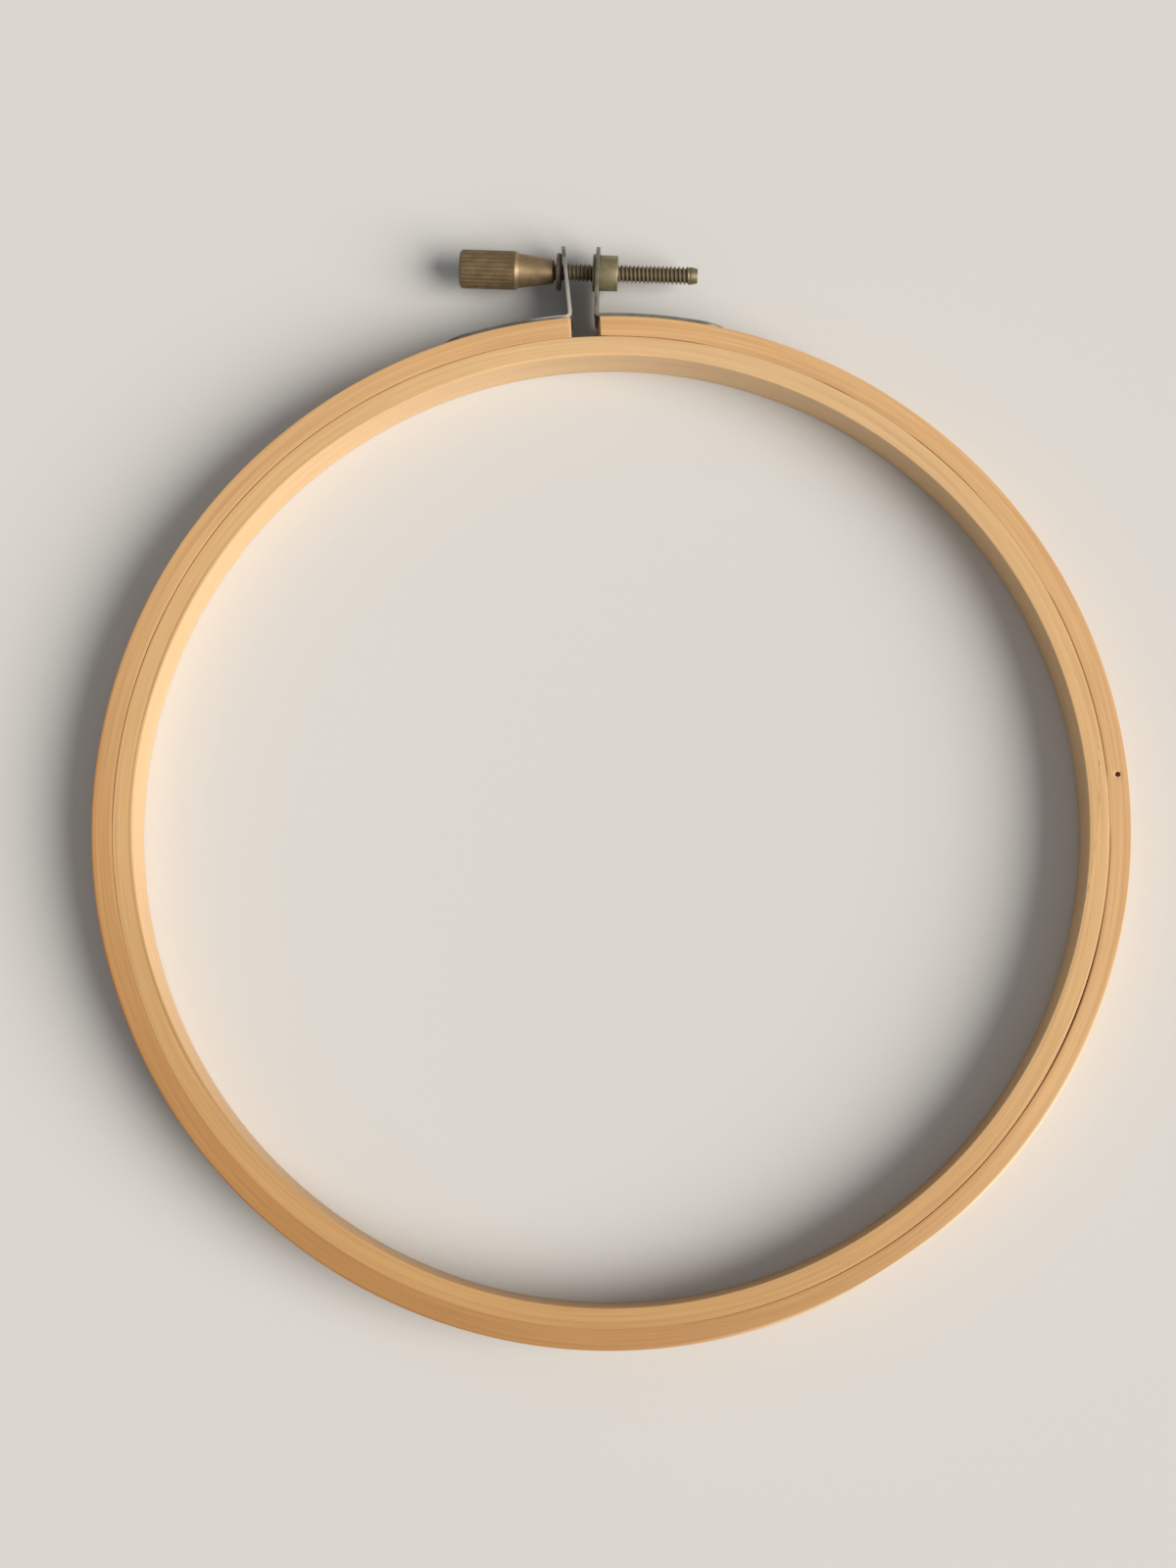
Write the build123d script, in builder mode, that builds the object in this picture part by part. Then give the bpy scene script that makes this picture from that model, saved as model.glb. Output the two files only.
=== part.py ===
from build123d import *
import os
from math import cos, degrees, radians, sin, sqrt, tan

os.makedirs("parts", exist_ok=True)

# A six inch embroidery hoop: a closed inner hoop, and a split outer hoop that a thumb screw
# draws tight round it. Z is up from the table, and the screw lies along X, on the +Y side.
# Lengths are in millimetres and angles in degrees.

# The two hoops are strips of bamboo bent round and stood on edge.
inner_hoop_diameter = 150.0
inner_strip_thickness = 3.05
outer_strip_thickness = 3.05
hoop_height = 9.5
hoop_clearance = 0.15
arris_size = 0.3

# The outer hoop is cut through once. One end of the cut leans, as a hand-held saw leaves it.
split_angle = 95.0
split_gap = 4.15
split_lean = 4.2

# A stretch of the outer hoop's rim is planed thinner, where the bent strip had swollen.
planed_angle = -54.8
planed_depth = 0.45
planed_radius = 125.0

# Each bracket is a strip of sheet metal: a foot that follows the rim, and an ear to the screw.
sheet_thickness = 0.55
bracket_width = 8.0
bend_radius = 0.45
foot_length = 21.0
foot_clearance = 0.1
ear_overhangs = {"left": 0.3, "right": 0.6}
ear_leans = {"left": 8.0, "right": 0.0}

# Two rivets fix each foot to the strip.
rivet_radius = 0.75
rivet_head_radius = 1.35
rivet_head_height = 0.45
rivet_head_edge = 0.3
rivet_tail_radius = 1.15
rivet_tail_depth = 0.4
rivet_clearance = 0.1
rivet_place_shares = (0.3, 0.78)

# The screw passes beside the rim. Its thread is number 4, 40 turns to the inch.
screw_offset = 8.13
screw_radius = 1.42
screw_beyond_nut = 12.4
screw_in_knob = 6.0
screw_tip_length = 1.7
screw_tip_radius = 1.05
screw_clearance = 0.05
screw_tip_edge = 0.15

# The knob is a ribbed cylinder with a smooth taper down to the screw.
knob_radius = 2.98
knob_ribbed_length = 8.67
knob_rib_count = 24
knob_groove_sides = 4
knob_groove_depth = 0.17
knob_shoulder_length = 0.5
knob_taper_length = 5.52
knob_taper_radius = 2.65
knob_nose_radius = 1.84
knob_edge = 0.35
knob_nose_edge = 0.12
knob_neck_length = 0.45
press_clearance = 0.02

# A loose washer keeps the knob off the left ear.
washer_radius = 2.88
washer_thickness = 0.7
washer_edge = 0.12
washer_clearance = 0.1
seat_clearance = 0.03

# The round nut is riveted into the right ear: a barrel outside, and a flange on the inner side.
nut_radius = 2.76
nut_length = 2.87
nut_edge = 0.2
nut_spigot_radius = 2.1
nut_flange_radius = 2.9
nut_flange_thickness = 0.5
nut_flange_edge = 0.1
ear_hole_clearance = 0.3

# Cuts run this far past the faces that they go through.
overrun = 2.0

# What the sizes above settle
inner_hoop_radius = inner_hoop_diameter / 2
outer_hoop_bore = inner_hoop_radius + hoop_clearance
outer_hoop_radius = outer_hoop_bore + outer_strip_thickness
mid_height = hoop_height / 2
foot_inner_radius = outer_hoop_radius + foot_clearance
foot_outer_radius = foot_inner_radius + sheet_thickness
bracket_base = (hoop_height - bracket_width) / 2
screw_y = outer_hoop_radius + screw_offset
foot_sweep = degrees(foot_length / foot_inner_radius)
end_sweep = degrees(bracket_width / 2 / foot_inner_radius)


def on_rim(radius, angle):
    """The point at this angle on a circle about the hoops' axis."""
    return Vector(radius * cos(radians(angle)), radius * sin(radians(angle)))


def out_to(start, direction, radius):
    """The point where a line from start meets a circle about the hoops' axis."""
    along = start.dot(direction)
    reach = sqrt(along**2 - start.dot(start) + radius**2) - along
    return start + direction * reach


def rim_plane(radius, angle):
    """A plane that lies against the rim at this angle, at mid height, facing outwards."""
    outwards = on_rim(1, angle)
    origin = outwards * radius + Vector(0, 0, mid_height)
    return Plane(origin=origin, x_dir=Vector(-outwards.Y, outwards.X), z_dir=outwards)


def screw_plane(x):
    """A plane square to the screw, on its axis, facing along it towards the tip."""
    return Plane(origin=(x, screw_y, mid_height), x_dir=(0, 1, 0), z_dir=(1, 0, 0))


# The lines that each bracket is set out on: the end of the split, the ear's direction and its normal
split_edge = sqrt(outer_hoop_radius**2 - (split_gap / 2) ** 2)
bracket_lines = {}
for side, away in (("left", -1), ("right", 1)):
    out = on_rim(1, split_angle)
    across = Vector(out.Y, -out.X) * away
    strip_end = out * split_edge + across * (split_gap / 2)
    lean = radians(ear_leans[side])
    ear_up = Vector(away * sin(lean), cos(lean))
    ear_out = Vector(away * cos(lean), -sin(lean))
    face_point = strip_end - across * ear_overhangs[side]
    face_point += ear_up * ((screw_y - face_point.Y) / ear_up.Y)
    bracket_lines[side] = (away, face_point, ear_up, ear_out)

left_face = bracket_lines["left"][1]
left_slope = tan(radians(ear_leans["left"]))
left_ear_back = left_face.X - sheet_thickness / cos(radians(ear_leans["left"]))
right_face = bracket_lines["right"][1]

# Stations along the screw, from the knob's end to the tip
washer_face = left_ear_back - left_slope * washer_radius - seat_clearance
washer_back = washer_face - washer_thickness
knob_nose = washer_back - knob_neck_length
taper_start = knob_nose - knob_taper_length
ribs_end = taper_start - knob_shoulder_length
knob_end = ribs_end - knob_ribbed_length
nut_start = right_face.X + sheet_thickness
nut_end = nut_start + nut_length
screw_end = nut_end + screw_beyond_nut
screw_start = knob_nose - screw_in_knob

# Angles of the rivets, for each foot
rivet_angles = {}
for side, (away, face_point, ear_up, ear_out) in bracket_lines.items():
    near_end = out_to(face_point - ear_up * screw_offset, ear_up, foot_inner_radius)
    near_angle = 90 - Vector(0, 1).get_signed_angle(near_end, Vector(0, 0, -1))
    rivet_angles[side] = [near_angle - away * share * foot_sweep for share in rivet_place_shares]


# The inner hoop
with BuildPart() as inner_hoop:
    with BuildSketch(Plane.XZ) as strip:
        with Locations((inner_hoop_radius - inner_strip_thickness / 2, mid_height)):
            Rectangle(inner_strip_thickness, hoop_height)
        chamfer(strip.vertices(), arris_size)
    revolve(axis=Axis.Z)

inner_hoop.part.label = "inner_hoop"
export_step(inner_hoop.part, "parts/inner_hoop.step")


# The outer hoop
with BuildPart() as outer_hoop:
    with BuildSketch(Plane.XZ) as strip:
        with Locations((outer_hoop_bore + outer_strip_thickness / 2, mid_height)):
            Rectangle(outer_strip_thickness, hoop_height)
        chamfer(strip.vertices(), arris_size)
    revolve(axis=Axis.Z)

    half = mid_height + overrun
    spread = tan(radians(split_lean)) * half
    with BuildSketch(rim_plane(0, split_angle)):
        with BuildLine():
            Polyline(
                (split_gap / 2, -half),
                (split_gap / 2, half),
                (-split_gap / 2 - spread, half),
                (-split_gap / 2 + spread, -half),
                close=True,
            )
        make_face()
    extrude(amount=outer_hoop_radius + overrun, mode=Mode.SUBTRACT)

    with BuildSketch():
        Circle(outer_hoop_radius + overrun)
        with Locations(on_rim(outer_hoop_radius - planed_depth - planed_radius, planed_angle)):
            Circle(planed_radius, mode=Mode.SUBTRACT)
    extrude(amount=hoop_height, mode=Mode.SUBTRACT)

    for angles in rivet_angles.values():
        for angle in angles:
            with BuildSketch(rim_plane(outer_hoop_radius + overrun, angle)):
                Circle(rivet_radius + rivet_clearance)
            extrude(amount=-outer_strip_thickness - 2 * overrun, mode=Mode.SUBTRACT)
            with BuildSketch(rim_plane(outer_hoop_bore - overrun, angle)):
                Circle(rivet_tail_radius + rivet_clearance)
            extrude(amount=overrun + rivet_tail_depth + rivet_clearance, mode=Mode.SUBTRACT)

outer_hoop.part.label = "outer_hoop"
export_step(outer_hoop.part, "parts/outer_hoop.step")


# The two brackets
for side, (away, face_point, ear_up, ear_out) in bracket_lines.items():
    ear_root = face_point - ear_up * screw_offset
    inner_corner = out_to(ear_root, ear_up, foot_inner_radius)
    outer_corner = out_to(ear_root + ear_out * sheet_thickness, ear_up, foot_outer_radius)
    near_angle = 90 - Vector(0, 1).get_signed_angle(inner_corner, Vector(0, 0, -1))
    far_angle = near_angle - away * foot_sweep
    middle_angle = (near_angle + far_angle) / 2
    ear_tip = face_point + ear_up * (bracket_width / 2)
    hole_centre = face_point + ear_out * (sheet_thickness / 2) + Vector(0, 0, mid_height)
    hole_radius = {
        "left": screw_radius + ear_hole_clearance,
        "right": nut_spigot_radius + press_clearance,
    }[side]

    with BuildPart() as bracket:
        with BuildSketch(Plane.XY.offset(bracket_base)) as bent_strip:
            with BuildLine():
                Line(inner_corner, ear_tip)
                Line(ear_tip, ear_tip + ear_out * sheet_thickness)
                Line(ear_tip + ear_out * sheet_thickness, outer_corner)
                ThreePointArc(
                    outer_corner,
                    on_rim(foot_outer_radius, middle_angle),
                    on_rim(foot_outer_radius, far_angle),
                )
                Line(on_rim(foot_outer_radius, far_angle), on_rim(foot_inner_radius, far_angle))
                ThreePointArc(
                    on_rim(foot_inner_radius, far_angle),
                    on_rim(foot_inner_radius, middle_angle),
                    inner_corner,
                )
            make_face()
            fillet(bent_strip.vertices().sort_by_distance(inner_corner)[:1], bend_radius + sheet_thickness)
            fillet(bent_strip.vertices().sort_by_distance(outer_corner)[:1], bend_radius)
        extrude(amount=bracket_width)

        foot_out = on_rim(1, far_angle + away * end_sweep)
        foot_along = Vector(foot_out.Y, -foot_out.X) * away
        foot_centre = foot_out * foot_inner_radius + Vector(0, 0, mid_height)
        ear_plane = Plane(origin=hole_centre, x_dir=ear_up, z_dir=ear_out)
        foot_plane = Plane(origin=foot_centre, x_dir=foot_along, z_dir=foot_out)
        for end_plane in (ear_plane, foot_plane):
            with BuildSketch(end_plane):
                Rectangle(bracket_width, bracket_width + overrun, align=(Align.MIN, Align.CENTER))
                Circle(bracket_width / 2, mode=Mode.SUBTRACT)
            extrude(amount=overrun, both=True, mode=Mode.SUBTRACT)

        with BuildSketch(ear_plane):
            Circle(hole_radius)
        extrude(amount=overrun, both=True, mode=Mode.SUBTRACT)

        for angle in rivet_angles[side]:
            with BuildSketch(rim_plane(foot_outer_radius + overrun, angle)):
                Circle(rivet_radius + press_clearance)
            extrude(amount=-sheet_thickness - 2 * overrun, mode=Mode.SUBTRACT)

    bracket.part.label = side + "_bracket"
    export_step(bracket.part, "parts/" + side + "_bracket.step")


# The rivets of each foot: a low head outside, and a flat tail let into the strip's inner face
for side, angles in rivet_angles.items():
    with BuildPart() as rivets:
        for angle in angles:
            with BuildSketch(rim_plane(outer_hoop_bore, angle)):
                Circle(rivet_tail_radius)
            extrude(amount=rivet_tail_depth)
            with BuildSketch(rim_plane(outer_hoop_bore, angle)):
                Circle(rivet_radius)
            extrude(amount=foot_outer_radius - outer_hoop_bore)
            with BuildSketch(rim_plane(foot_outer_radius, angle)):
                Circle(rivet_head_radius)
            head = extrude(amount=rivet_head_height)
            above = on_rim(foot_outer_radius + overrun, angle) + Vector(0, 0, mid_height)
            chamfer(head.faces().sort_by_distance(above)[0].edges(), rivet_head_edge)

    rivets.part.label = side + "_rivets"
    export_step(rivets.part, "parts/" + side + "_rivets.step")


# The thumb screw's threaded rod
with BuildPart() as screw_rod:
    with BuildSketch(screw_plane(screw_start)):
        Circle(screw_radius)
    extrude(amount=screw_end - screw_tip_length - screw_start)
    with BuildSketch(screw_plane(screw_end - screw_tip_length)):
        Circle(screw_radius)
    with BuildSketch(screw_plane(screw_end)):
        Circle(screw_tip_radius)
    loft()
    chamfer(screw_rod.edges().sort_by(Axis.X)[-1], screw_tip_edge)

screw_rod.part.label = "screw_rod"
export_step(screw_rod.part, "parts/screw_rod.step")


# The knob
with BuildPart() as thumb_knob:
    with BuildSketch(screw_plane(knob_end)):
        Circle(knob_radius)
    extrude(amount=knob_ribbed_length)
    chamfer(thumb_knob.edges().sort_by(Axis.X)[0], knob_edge)
    with BuildSketch(screw_plane(knob_end)):
        with PolarLocations(knob_radius + knob_groove_depth, knob_rib_count):
            RegularPolygon(knob_groove_depth * 2, knob_groove_sides)
    extrude(amount=knob_ribbed_length, mode=Mode.SUBTRACT)
    with BuildSketch(Plane.XY.offset(mid_height)):
        with BuildLine():
            Polyline(
                (ribs_end, screw_y),
                (ribs_end, screw_y + knob_radius - knob_groove_depth),
                (taper_start, screw_y + knob_taper_radius),
                (knob_nose, screw_y + knob_nose_radius),
                (knob_nose, screw_y),
                close=True,
            )
        make_face()
    revolve(axis=Axis((0, screw_y, mid_height), (1, 0, 0)))
    chamfer(thumb_knob.edges().sort_by(Axis.X)[-1], knob_nose_edge)
    with BuildSketch(screw_plane(knob_nose)):
        Circle(screw_radius + press_clearance)
    extrude(amount=-screw_in_knob, mode=Mode.SUBTRACT)

thumb_knob.part.label = "thumb_knob"
export_step(thumb_knob.part, "parts/thumb_knob.step")


# The washer between the knob and the left ear
with BuildPart() as knob_washer:
    with BuildSketch(screw_plane(washer_back)):
        Circle(washer_radius)
        Circle(screw_radius + washer_clearance, mode=Mode.SUBTRACT)
    extrude(amount=washer_thickness)
    outer_edges = knob_washer.edges().filter_by(GeomType.CIRCLE).group_by(SortBy.RADIUS)[-1]
    chamfer(outer_edges, washer_edge)

knob_washer.part.label = "knob_washer"
export_step(knob_washer.part, "parts/knob_washer.step")


# The riveted nut
with BuildPart() as clamp_nut:
    with BuildSketch(screw_plane(nut_start)):
        Circle(nut_radius)
    extrude(amount=nut_length)
    chamfer(clamp_nut.edges().sort_by(Axis.X)[-1], nut_edge)
    with BuildSketch(screw_plane(right_face.X)):
        Circle(nut_spigot_radius)
    extrude(amount=sheet_thickness)
    with BuildSketch(screw_plane(right_face.X)):
        Circle(nut_flange_radius)
    extrude(amount=-nut_flange_thickness)
    chamfer(clamp_nut.edges().sort_by(Axis.X)[0], nut_flange_edge)
    with BuildSketch(screw_plane(nut_start)):
        Circle(screw_radius + screw_clearance)
    extrude(amount=nut_length + overrun, both=True, mode=Mode.SUBTRACT)

clamp_nut.part.label = "clamp_nut"
export_step(clamp_nut.part, "parts/clamp_nut.step")

print("screw axis y", round(screw_y, 3), "z", round(mid_height, 3))
print("knob", round(knob_end, 2), "to", round(knob_nose, 2))
print("washer", round(washer_back, 2), "to", round(washer_face, 2))
print("ears at the screw", round(left_face.X, 2), round(right_face.X, 2))
print("nut end", round(nut_end, 2), "tip", round(screw_end, 2))
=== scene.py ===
# %% [markdown]
# # A six inch embroidery hoop
# The hoop is two strips of bamboo bent into rings, one inside the other. The outer ring is cut
# through, and two sheet metal brackets beside the cut carry a thumb screw that draws it tight.
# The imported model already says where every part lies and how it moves. This script keeps those
# places and gives each part its real edges, its thread, its grain and its finish.

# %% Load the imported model
import math

import bmesh
import bpy
from mathutils import Matrix, Vector, noise
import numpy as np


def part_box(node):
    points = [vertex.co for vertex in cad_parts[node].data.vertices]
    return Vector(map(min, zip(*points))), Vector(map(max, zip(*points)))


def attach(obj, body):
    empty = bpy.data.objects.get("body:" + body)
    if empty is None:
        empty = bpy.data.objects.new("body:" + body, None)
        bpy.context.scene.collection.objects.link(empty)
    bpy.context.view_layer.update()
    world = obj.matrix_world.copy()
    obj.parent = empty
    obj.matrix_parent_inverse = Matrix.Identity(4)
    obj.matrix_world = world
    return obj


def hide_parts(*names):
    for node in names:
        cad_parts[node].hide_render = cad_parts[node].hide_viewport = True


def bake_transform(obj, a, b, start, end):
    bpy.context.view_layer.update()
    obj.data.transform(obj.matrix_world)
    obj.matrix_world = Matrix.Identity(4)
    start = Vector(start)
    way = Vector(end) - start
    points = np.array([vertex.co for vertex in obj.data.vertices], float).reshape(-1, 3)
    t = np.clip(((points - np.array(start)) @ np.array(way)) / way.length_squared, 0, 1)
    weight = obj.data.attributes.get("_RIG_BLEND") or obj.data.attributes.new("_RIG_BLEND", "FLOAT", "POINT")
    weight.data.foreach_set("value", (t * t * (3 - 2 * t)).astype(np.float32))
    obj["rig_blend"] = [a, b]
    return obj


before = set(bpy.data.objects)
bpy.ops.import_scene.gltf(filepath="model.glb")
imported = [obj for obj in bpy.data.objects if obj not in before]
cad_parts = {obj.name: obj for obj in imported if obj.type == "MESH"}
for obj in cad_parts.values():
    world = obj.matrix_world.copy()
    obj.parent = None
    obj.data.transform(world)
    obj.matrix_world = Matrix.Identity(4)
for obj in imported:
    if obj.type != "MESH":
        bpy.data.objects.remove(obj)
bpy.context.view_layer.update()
MM = 0.001

# %% [markdown]
# ## Helpers for meshes
# Sizes are easier to read in millimetres, so each mesh is made in millimetres and brought to
# metres once, when it becomes an object. A turned part, such as a knob, is a line of points in
# its own plane spun round an axis: that is how a lathe makes the real one. A small bevel on its
# edges then catches the light, and the bevel's crest is marked as worn for the material.

# %% Turn a bmesh into an object
def make_piece(bm, name, material, crease=32):
    """An object in metres at the origin, smooth but for creases over that many degrees."""
    bmesh.ops.transform(bm, matrix=Matrix.Scale(MM, 4), space=Matrix(), verts=bm.verts)
    mesh = bpy.data.meshes.new(name)
    bm.to_mesh(mesh)
    bm.free()
    mesh.shade_smooth()
    mesh.set_sharp_from_angle(angle=math.radians(crease))
    mesh.materials.append(material)
    piece = bpy.data.objects.new(name, mesh)
    bpy.context.scene.collection.objects.link(piece)
    print(name, "has", len(mesh.polygons), "faces")
    return piece


# %% Spin an outline on a lathe
WELD = 0.002


def turn(outline, steps, closed=False):
    """A bmesh of (distance along, radius) points spun round the X axis, in millimetres."""
    bm = bmesh.new()
    points = [bm.verts.new((along, radius, 0)) for along, radius in outline]
    ends = points[1:] + points[:1] if closed else points[1:]
    edges = [bm.edges.new(pair) for pair in zip(points, ends)]
    bmesh.ops.spin(
        bm,
        geom=points + edges,
        cent=(0, 0, 0),
        axis=(1, 0, 0),
        dvec=(0, 0, 0),
        angle=math.tau,
        steps=steps,
        use_merge=True,
        use_duplicate=False,
    )
    bmesh.ops.remove_doubles(bm, verts=bm.verts, dist=WELD)
    bmesh.ops.recalc_face_normals(bm, faces=bm.faces)
    return bm


# %% Round the sharp edges and mark them as worn
def wear_edges(bm, width, sharper_than=30):
    """Bevels the edges sharper than that many degrees, and marks the bevels' crests as worn."""
    wear_and_highlight = bm.verts.layers.float.get("wear_and_highlight") or bm.verts.layers.float.new("wear_and_highlight")
    limit = math.radians(sharper_than)
    sharp = [e for e in bm.edges if e.is_manifold and e.calc_face_angle() > limit]
    made = bmesh.ops.bevel(
        bm,
        geom=sharp,
        offset=width,
        offset_type="OFFSET",
        segments=2,
        profile=0.5,
        affect="EDGES",
        clamp_overlap=True,
        material=-1,
    )
    rounded = set(made["faces"])
    for point in made["verts"]:
        if all(face in rounded for face in point.link_faces):
            point[wear_and_highlight] = 1.0


# %% Two ways to fade from 0 to 1
def ramp(value, length):
    """0 up to a value of 0, then evenly up to 1 at that length."""
    return min(1.0, max(0.0, value / length))


def near(distance, reach):
    """1 at no distance, then evenly down to 0 at that reach."""
    return max(0.0, 1 - abs(distance) / reach)


# %% [markdown]
# ## Helpers for materials
# A colour is written as the sRGB hex value that an eyedropper shows, and Blender wants it
# linear. One helper adds any node, sets its properties, and fills or links its inputs. Wear,
# painted shade and painted light follow the shape, so the mesh stores them as marks on its
# points. The material reads a mark, breaks it up with a pattern, and lays a colour over the rest
# as a coat where it is strong.

# %% Colours and nodes
def colour(code):
    """A linear RGBA colour from an sRGB hex value such as "#d2a572"."""
    parts = [int(code[i : i + 2], 16) / 255 for i in (1, 3, 5)]
    return [p / 12.92 if p <= 0.04045 else ((p + 0.055) / 1.055) ** 2.4 for p in parts] + [1]


def add(material, kind, inputs=None, **settings):
    """Adds a node. An input gets a number, a hex colour, an output, or a node's first output."""
    node = material.node_tree.nodes.new(kind)
    for name, value in settings.items():
        setattr(node, name, value)
    for name, value in (inputs or {}).items():
        if isinstance(value, bpy.types.Node):
            value = next(output for output in value.outputs if output.enabled)
        if isinstance(value, bpy.types.NodeSocket):
            material.node_tree.links.new(value, node.inputs[name])
        else:
            node.inputs[name].default_value = colour(value) if isinstance(value, str) else value
    return node


def new_material(name):
    """An empty node material."""
    material = bpy.data.materials.new(name)
    material.use_nodes = True
    material.node_tree.nodes.clear()
    return material


# %% Marks and coats
def marked(material, mark, pattern=None):
    """How strongly the mesh is marked, from 0 to 1, broken up by a pattern if there is one."""
    strength = add(material, "ShaderNodeAttribute", attribute_name=mark).outputs["Fac"]
    if pattern is None:
        return strength
    return add(material, "ShaderNodeMath", {0: strength, 1: pattern}, operation="MULTIPLY")


def lay_coat(material, under, over, strength, fade=None, blend_type="MIX"):
    """Lays a colour over another. The fade says how much of it shows at which strength."""
    share = add(material, "ShaderNodeMapRange", {"Value": strength, **(fade or {})})
    inputs = {"Factor": share, "A": under, "B": over}
    return add(material, "ShaderNodeMix", inputs, data_type="RGBA", blend_type=blend_type)


# %% [markdown]
# ## Bamboo
# Bamboo has no rings and no rays: it is a bundle of straight fibres in a softer, paler ground.
# Along the strip the fibres show as fine broken streaks, and on a cut end as dots. One solid
# pattern gives both, if it is laid out along the bent strip: each corner of each face stores how
# far along the strip it is, how deep, and how high. Noise is then stretched along the strip.
# A sanded and waxed strip is satin, paler where its edge is rubbed, and darker along the inner
# hoop's bore edge on the left. Painted shade darkens it towards its lower left, along the joint,
# on the outer rim's lower left edge and in the nail hole. Painted light makes the bore paler where
# it is lit and the strip paler towards the hoop's upper side, and a painted highlight brightens
# the outer rim's lower right and one cut end.

# %% Sizes of the bamboo's pattern, and where each coat fades in
FIBRE_WIDTH = 0.30
FIBRE_LENGTH = 16.0
BUNDLE_WIDTH = 0.75
BUNDLE_LENGTH = 45.0
CLOUD_WIDTH = 6.0
CLOUD_LENGTH = 38.0
DASH_WIDTH = 0.1
DASH_LENGTH = 1.4
FIBRE_FADE = {"From Min": 0.34, "From Max": 0.70, "To Max": 0.58}
BUNDLE_FADE = {"From Min": 0.52, "From Max": 0.72, "To Max": 0.32}
PITH_AND_LIGHT_FADE = {"To Max": 0.15}
RUBBED_AND_HIGHLIGHT_FADE = {"From Min": 0.1, "From Max": 0.5}
DARK_EDGE_AND_SHADE_FADE = {"From Min": 0.15, "From Max": 0.6}
SEAM_FADE = {"From Min": 0.3, "From Max": 0.8}
DASH_FADE = {"From Min": 0.55, "From Max": 0.6}
CLOUD_BRIGHTNESS = {"From Min": 0.3, "From Max": 0.7, "To Min": 0.97, "To Max": 1.05}
WAX_ROUGHNESS = {"From Min": 0.3, "From Max": 0.7, "To Min": 0.42, "To Max": 0.56}
WAX = {"IOR": 1.5, "Coat Weight": 0.12, "Coat Roughness": 0.3}
FIBRE_RELIEF = {"Strength": 0.35, "Distance": 0.05 * MM}
# Painted shade: a tint multiplied in where the strip is darkened towards its lower left and in the bore's
# shaded part.
PAINTED_SHADE_TINT = "#d6c6a9"
# A pale tone: the pith side's own paleness, also used for painted light.
PALE_PITH_AND_LIGHT = "#f3dfbf"
GLUE = "#8f673a"


# %% Streaks along the strip, and the dashes of the glue line
def strip_noise(material, width, length, detail):
    """Noise stretched along the strip, for streaks of this width and length in millimetres."""
    place = add(material, "ShaderNodeAttribute", attribute_name="along_strip").outputs["Vector"]
    scale = (1 / length, 1 / width, 1 / width)
    stretch = add(material, "ShaderNodeMapping", {"Vector": place, "Scale": scale})
    return add(material, "ShaderNodeTexNoise", {"Vector": stretch, "Scale": 1.0, "Detail": detail})


def glue_dashes(material):
    """Where dark glue shows: in short dashes, along the seam that the mesh marks."""
    dashes = strip_noise(material, DASH_WIDTH, DASH_LENGTH, detail=0.0)
    in_dash = add(material, "ShaderNodeMapRange", {"Value": dashes, **DASH_FADE})
    on_seam = add(material, "ShaderNodeMapRange", {"Value": marked(material, "glue"), **SEAM_FADE})
    return add(material, "ShaderNodeMath", {0: on_seam, 1: in_dash}, operation="MULTIPLY")


# %% The bamboo material
def bamboo(name, ground, fibre, bundle, rubbed, dark_edge_and_painted_shade):
    """Sanded and waxed bamboo, from the colours of its ground, fibres, edges and painted shade."""
    material = new_material(name)
    fibres = strip_noise(material, FIBRE_WIDTH, FIBRE_LENGTH, detail=3.0)
    bundles = strip_noise(material, BUNDLE_WIDTH, BUNDLE_LENGTH, detail=2.0)
    clouds = strip_noise(material, CLOUD_WIDTH, CLOUD_LENGTH, detail=2.0)
    shade = lay_coat(material, ground, fibre, fibres, FIBRE_FADE)
    shade = lay_coat(material, shade, bundle, bundles, BUNDLE_FADE)
    # Painted light over the pith side's own paleness: the bore is paler only where it is lit, and the rest
    # of the strip paler towards the hoop's upper side.
    shade = lay_coat(material, shade, PALE_PITH_AND_LIGHT, marked(material, "pith_and_painted_light"), PITH_AND_LIGHT_FADE)
    # Painted shade: darker towards the hoop's lower left, and in the shaded part of the inner hoop's bore.
    shade = lay_coat(material, shade, PAINTED_SHADE_TINT, marked(material, "painted_shade"), blend_type="MULTIPLY")
    brightness = add(material, "ShaderNodeMapRange", {"Value": clouds, **CLOUD_BRIGHTNESS})
    shade = add(material, "ShaderNodeHueSaturation", {"Color": shade, "Value": brightness})
    # Pale where rubbed, with a painted highlight on the outer rim's lower right and on the knob side's cut
    # end.
    shade = lay_coat(material, shade, rubbed, marked(material, "rubbed", fibres), RUBBED_AND_HIGHLIGHT_FADE)
    # Painted shade along the joint, on the outer rim's lower left edge and in the nail hole; the inner
    # hoop's bore edge is also darker on the left.
    shade = lay_coat(material, shade, dark_edge_and_painted_shade, marked(material, "dark_edge_and_painted_shade", bundles), DARK_EDGE_AND_SHADE_FADE)
    shade = lay_coat(material, shade, GLUE, glue_dashes(material))
    surface = {
        "Base Color": shade,
        "Roughness": add(material, "ShaderNodeMapRange", {"Value": fibres, **WAX_ROUGHNESS}),
        "Normal": add(material, "ShaderNodeBump", {"Height": fibres, **FIBRE_RELIEF}),
    }
    shader = add(material, "ShaderNodeBsdfPrincipled", {**surface, **WAX})
    add(material, "ShaderNodeOutputMaterial", {"Surface": shader})
    return material


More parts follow.
